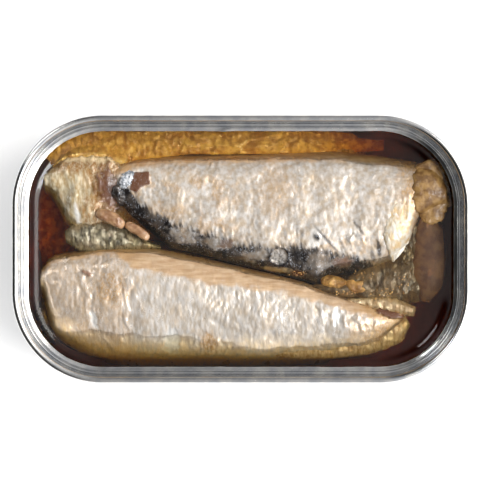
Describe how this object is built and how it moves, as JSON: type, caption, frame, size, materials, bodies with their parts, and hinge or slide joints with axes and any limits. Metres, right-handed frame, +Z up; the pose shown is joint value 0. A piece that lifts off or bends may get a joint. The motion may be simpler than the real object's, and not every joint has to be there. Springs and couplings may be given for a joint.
{
  "type": "sardine tin",
  "caption": "Opened flat metal tin with rounded corners, filled with headless silver sardines lying in golden oil.",
  "frame": {"origin": "centre of the standing face under the tin", "axes": "+X along the tin's length, +Y across it, +Z up"},
  "size_m": [0.107, 0.0626, 0.024],
  "materials": {
    "can_metal": "satin drawn sheet",
    "lid_metal": "bright rolled sheet with fine scratches",
    "oil": "clear golden oil",
    "front_skin": "wet pearly skin with fine creases",
    "back_skin": "wet silver skin with a blue-black back",
    "under_skin": "skin under oil, silver to gold",
    "flesh": "moist pink flesh",
    "golden_flesh": "oily golden flesh",
    "brown_flesh": "smooth brown belly flesh"
  },
  "bodies": {
    "root": {"tin_body": "can_metal", "lid_ring": "lid_metal", "oil": "oil", "sardine_front": "front_skin", "sardine_back": "back_skin", "sardine_under_front": "under_skin", "sardine_under_back": "under_skin", "flesh_strip_long": "flesh", "flesh_strip_short": "flesh", "flesh_lump_left": "golden_flesh", "flesh_lump_right": "golden_flesh", "belly_lobe": "brown_flesh"}
  },
  "joints": []
}
